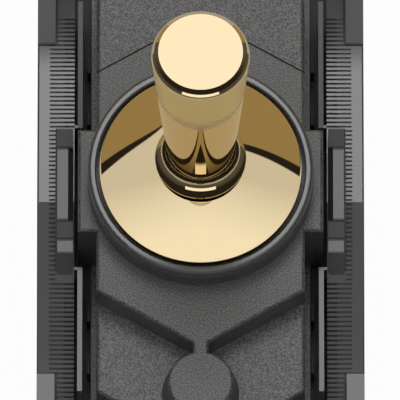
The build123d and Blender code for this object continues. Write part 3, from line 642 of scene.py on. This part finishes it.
world = bpy.data.worlds.new("studio")
bpy.context.scene.world = world
world.use_nodes = True
world.node_tree.nodes.clear()
sky = Wire(world.node_tree)
direction = sky.node("ShaderNodeTexCoord", output="Generated")
sideways = direction.part("X")
onward = direction.part("Y")
upward = direction.part("Z")
above = sky.math("MAXIMUM", upward, LEAST_RISE)
panel_x = sky.math("DIVIDE", sideways, above)
panel_y = sky.math("DIVIDE", onward, above)
zenith = sky.math("ARCCOSINE", upward)


def behind_line(line):
    """1 behind a straight edge on the panel's level, given as (middle, slope)."""
    middle, slope = line
    return (panel_y - panel_x * slope).past(middle, EDGE_BLUR)


off_panel_middle = sky.math("ABSOLUTE", panel_x)
past_side = off_panel_middle.ramp_up(PANEL_HALF_WIDTH, PANEL_HALF_WIDTH + EDGE_BLUR)
past_front = (-1 * panel_y).ramp_up(PANEL_FRONT, PANEL_FRONT + EDGE_BLUR)
past_back = sky.math("MAXIMUM", behind_line(LEFT_EDGE), behind_line(RIGHT_EDGE))
past_panel = sky.math("MAXIMUM", past_back, sky.math("MAXIMUM", past_side, past_front))
past_seam = sky.math("MAXIMUM", behind_line(LEFT_SEAM_END), behind_line(RIGHT_SEAM_END))
print("the panel's corner is at", RIGHT_EDGE[0], "times its height behind the module")

# %% [markdown]
# ### The back wall and the low window
# Beyond the seam the disc mirrors a dim warm wall, which stands only behind the module. The other
# sides are dark, and a little less so near the horizon, which only other views show. Low in front
# there is a bright window, which draws the thin white arc under the cap's edge, the one at the
# lever's foot and the bright line along the collar's lower edge. The cap leans back a little, so it
# mirrors a place of its own on the panel, and a lamp shines there. Two bright strips give the black
# plastic its sheen, because a rougher surface gathers light from a wide cone. They hang where the
# disc, which is nowhere level, never mirrors them.

# %% The back wall, the low window and the lamp over the cap
WALL_COLOUR = (0.33, 0.25, 0.123, 1.0)
WALL_HALF_WIDTH = 0.53
WALL_BLUR = 0.03
WALL_START = 0.1
DARK_COLOUR = (0.02, 0.017, 0.014, 1.0)
LOW_COLOUR = (0.09, 0.085, 0.07, 1.0)
LOW_START = math.radians(62.0)
LOW_FULL = math.radians(85.0)
LOW_HALF_WIDTH = 0.74
CAP_LAMP_ZENITH = math.radians(30.8)
CAP_LAMP_RADIUS = math.radians(3.0)
CAP_LAMP_BLUR = math.radians(1.0)
CAP_LAMP_COLOUR = (1.16, 1.14, 1.18, 1.0)
FRONT_STRIP = (0.22, 0.364, 0.559)
FRONT_STRIP_COLOUR = grey(5.0)
BACK_STRIP = (0.12, 0.635, 0.740)
BACK_STRIP_COLOUR = grey(13.0)
WINDOW_HIGH = math.radians(62.5)
WINDOW_LOW = math.radians(79.0)
WINDOW_HALF_WIDTH = math.radians(34.0)
WINDOW_BLUR = math.radians(0.8)
WINDOW_COLOUR = grey(1.15)


def strip_of_light(half_width, near, far):
    """1 inside a strip across the panel, given by half its width and its two edges."""
    return panel_y.within(near, far, EDGE_BLUR) * (1 - off_panel_middle.past(half_width, EDGE_BLUR))


behind = onward.ramp_up(0.0, WALL_START)
off_middle = sky.math("ABSOLUTE", sideways)
wall = behind * (1 - off_middle.past(WALL_HALF_WIDTH, WALL_BLUR))
low = zenith.ramp_up(LOW_START, LOW_FULL)
low_wall = low * (1 - off_middle.ramp_up(LOW_HALF_WIDTH, LOW_HALF_WIDTH + WALL_BLUR)) * behind
wall = sky.math("MAXIMUM", wall, low_wall)

# How far a direction is turned from the front, to either side
swing = sky.math("ABSOLUTE", sky.math("ARCTAN2", sideways, -1 * onward))
window = zenith.within(WINDOW_HIGH, WINDOW_LOW, WINDOW_BLUR)
window = window * (1 - swing.past(WINDOW_HALF_WIDTH, WINDOW_BLUR))

beyond = low.blend(DARK_COLOUR, LOW_COLOUR)
beyond = (past_seam * wall).blend(beyond, WALL_COLOUR)
beyond = window.blend(beyond, WINDOW_COLOUR)

from_front = sky.math("MINIMUM", sky.math("MAXIMUM", panel_y, 0.0), PANEL_DIM_END)
panel = (from_front * PANEL_DIMMING).blend(grey(PANEL_LEVEL), grey(0.0))
cap_lamp_place = Vector((0, math.sin(CAP_LAMP_ZENITH), math.cos(CAP_LAMP_ZENITH)))
off_lamp = sky.math("ARCCOSINE", direction.along(cap_lamp_place))
past_lamp = off_lamp.ramp_up(CAP_LAMP_RADIUS, CAP_LAMP_RADIUS + CAP_LAMP_BLUR)
panel = past_lamp.blend(CAP_LAMP_COLOUR, panel)
panel = strip_of_light(*FRONT_STRIP).blend(panel, FRONT_STRIP_COLOUR)
panel = strip_of_light(*BACK_STRIP).blend(panel, BACK_STRIP_COLOUR)
first_sky = past_panel.blend(panel, beyond)
print("the window is", round(math.degrees(WINDOW_LOW - WINDOW_HIGH)), "degrees high")

# %% [markdown]
# ### What a second reflection sees
# The lever's side mirrors the disc, and the disc mirrors the sky in turn. That second reflection
# needs only the panel and a plain pale studio round it. One thing shows in it: the tripod in front
# of the module, which the lever draws out into a tall dark spike with a lighter inside, a dark head
# and a bright square at its foot. Past a certain slope everything is dark. Light Path's Glossy
# Depth tells the second reflection from the first.

# %% What the second reflection sees
SECOND_SKY = (0.52, 0.5, 0.49, 1.0)
SECOND_LOW = math.radians(56.0)
SECOND_BLUR = math.radians(2.0)
SECOND_BOUNCE = 1.5
SOFT_EDGE = math.radians(34.0)
SOFT_BLUR = math.radians(0.5)
SPIKE_MIDDLE = math.radians(44.6)
SPIKE_HALF_WIDTH = math.radians(19.0)
SPIKE_SPREAD = 15.0
SPIKE_INSIDE = 0.72
SPIKE_COLOUR = (0.37, 0.33, 0.2, 1.0)
SPIKE_FOOT_COLOUR = (0.13, 0.11, 0.07, 1.0)
SPIKE_FOOT = math.radians(41.5)
SPIKE_FOOT_BLUR = math.radians(3.0)
HEAD_TIP = math.radians(46.0)
HEAD_SPREAD = 3.7
SQUARE_LOW = math.radians(42.1)
SQUARE_HALF_WIDTH = math.radians(16.0)
SPIKE_BLUR = math.radians(1.0)

spike_edge = sky.math("EXPONENT", (SPIKE_MIDDLE - zenith) * SPIKE_SPREAD) * SPIKE_HALF_WIDTH
head_edge = (HEAD_TIP - zenith) * HEAD_SPREAD
in_spike = 1 - swing.past(spike_edge, SPIKE_BLUR)
inside_spike = 1 - swing.past(spike_edge * SPIKE_INSIDE, SPIKE_BLUR)
in_head = 1 - swing.past(head_edge, SPIKE_BLUR)
in_square = 1 - swing.past(SQUARE_HALF_WIDTH, SPIKE_BLUR)
in_square = in_square * (1 - zenith.ramp_up(SQUARE_LOW - SPIKE_BLUR, SQUARE_LOW))
past_foot = zenith.past(SPIKE_FOOT, SPIKE_FOOT_BLUR)

tripod = in_spike.blend(SECOND_SKY, DARK_COLOUR)
tripod = inside_spike.blend(tripod, past_foot.blend(SPIKE_FOOT_COLOUR, SPIKE_COLOUR))
tripod = in_head.blend(tripod, DARK_COLOUR)
tripod = in_square.blend(tripod, grey(PANEL_LEVEL))
tripod = zenith.past(SECOND_LOW, SECOND_BLUR).blend(tripod, DARK_COLOUR)

past_soft = zenith.past(SOFT_EDGE, SOFT_BLUR)
second_sky = past_soft.blend(grey(PANEL_LEVEL), tripod)
bounce = sky.node("ShaderNodeLightPath", output="Glossy Depth")
mirrored = bounce.math("GREATER_THAN", bounce, SECOND_BOUNCE).blend(first_sky, second_sky)
print("the spike's middle lies", round(math.degrees(SPIKE_MIDDLE), 1), "degrees from overhead")

# %% [markdown]
# ### The soft light and the white surround
# Plastic and floor get their light from a wide soft panel overhead and a little from all round. Its
# strength is chosen so that a colour renders about as it is written. What the camera sees past the
# floor is plain white.

# %% The soft light
SOFT_PANEL = 3.0
SOFT_SURROUND = 0.3

softened = SOFT_PANEL - past_soft * (SOFT_PANEL - SOFT_SURROUND)
mirror_sky = sky.node("ShaderNodeBackground", None, {"Color": mirrored, "Strength": 1.0})
soft_sky = sky.node("ShaderNodeBackground", None, {"Color": grey(1.0), "Strength": softened})
white_sky = sky.node("ShaderNodeBackground", None, {"Color": grey(1.0), "Strength": 1.0})
on_soft = sky.node("ShaderNodeLightPath", output="Is Diffuse Ray")
on_camera = sky.node("ShaderNodeLightPath", output="Is Camera Ray")
lit_sky = sky.node("ShaderNodeMixShader", None, {0: on_soft, 1: mirror_sky, 2: soft_sky})
seen_sky = sky.node("ShaderNodeMixShader", None, {0: on_camera, 1: lit_sky, 2: white_sky})
world_out = world.node_tree.nodes.new("ShaderNodeOutputWorld")
world.node_tree.links.new(seen_sky.socket, world_out.inputs["Surface"])
print("sky nodes:", len(world.node_tree.nodes))

# %% [markdown]
# ### The floor
# The floor is pale, and to the camera it is white, but it still takes a little of the module's soft
# shadow. It lies a hair below the module's back, because two faces in one place flicker. From below
# it is clear, also to the light of a ray that has come through it, so that the back can be looked
# at too.

# %% The floor
FLOOR_SIZE = 0.4
FLOOR_GAP = 0.05 * MM
FLOOR_COLOUR = grey(0.4)
FLOOR_GLOW = 0.97

floor_mesh = bpy.data.meshes.new("floor")
half_floor = FLOOR_SIZE / 2
floor_mesh.from_pydata(
    [
        (-half_floor, -half_floor, -FLOOR_GAP),
        (half_floor, -half_floor, -FLOOR_GAP),
        (half_floor, half_floor, -FLOOR_GAP),
        (-half_floor, half_floor, -FLOOR_GAP),
    ],
    [],
    [(0, 1, 2, 3)],
)
floor = bpy.data.objects.new("floor", floor_mesh)
bpy.context.scene.collection.objects.link(floor)
pale = bpy.data.materials.new("pale_floor")
pale.use_nodes = True
pale.node_tree.nodes.clear()
ground = Wire(pale.node_tree)
matt = ground.node("ShaderNodeBsdfDiffuse", None, {"Color": FLOOR_COLOUR})
glow = ground.node("ShaderNodeEmission", None, {"Color": grey(1.0), "Strength": 1.0})
seen = ground.node("ShaderNodeLightPath", output="Is Camera Ray") * FLOOR_GLOW
from_above = ground.node("ShaderNodeMixShader", None, {0: seen, 1: matt, 2: glow})
back_side = ground.node("ShaderNodeNewGeometry", output="Backfacing")
came_through = ground.node("ShaderNodeLightPath", output="Transparent Depth")
from_below = ground.math("MAXIMUM", back_side, came_through)
clear = ground.node("ShaderNodeBsdfTransparent")
ground_mix = ground.node("ShaderNodeMixShader", None, {0: from_below, 1: from_above, 2: clear})
pale_out = pale.node_tree.nodes.new("ShaderNodeOutputMaterial")
pale.node_tree.links.new(ground_mix.socket, pale_out.inputs["Surface"])
floor_mesh.materials.append(pale)
floor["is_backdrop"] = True
print("floor", FLOOR_SIZE, "m wide")

# %% [markdown]
# ## The camera
# The front fills the picture's width, cut off at top and bottom. Parallel edges stay parallel in
# the picture, so the camera stands more than a metre away with a very long lens. Its height above
# the horizon comes from how round the disc's rim looks, and its aim from where that rim sits in the
# frame.

# %% The camera
PICTURE_WIDTH_PX = 400
PIXELS_PER_MM = 14.6
CAMERA_ELEVATION = math.radians(68.2)
CAMERA_DISTANCE = 1.2
SENSOR_WIDTH_MM = 36.0
NEAREST_SEEN = 0.1
FARTHEST_SEEN = 20.0
AIM = Vector((-0.04 * MM, 0.15 * MM, 27.0 * MM))

camera_data = bpy.data.cameras.new("camera")
camera_data.sensor_width = SENSOR_WIDTH_MM
seen_width = PICTURE_WIDTH_PX / PIXELS_PER_MM * MM
camera_data.lens = camera_data.sensor_width * CAMERA_DISTANCE / seen_width
camera_data.clip_start = NEAREST_SEEN
camera_data.clip_end = FARTHEST_SEEN
camera = bpy.data.objects.new("camera", camera_data)
back = Vector((0, -math.cos(CAMERA_ELEVATION), math.sin(CAMERA_ELEVATION)))
camera.location = AIM + back * CAMERA_DISTANCE
camera.rotation_mode = "QUATERNION"
camera.rotation_quaternion = (-back).to_track_quat("-Z", "Y")
bpy.context.scene.collection.objects.link(camera)
bpy.context.scene.camera = camera
bpy.context.scene.view_settings.view_transform = "Standard"
print("lens in mm:", round(camera_data.lens))

# %% [markdown]
# ## Checking the size
# The dressed module has to stay in the box of the solids. Both boxes are measured, and how far the
# dressed one reaches past the solids' box is printed.

# %% Both boxes
dressed_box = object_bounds()
growth = [round((after - before) / MM, 3) for before, after in zip(solid_box[1], dressed_box[1])]
print("grown by", growth, "mm")
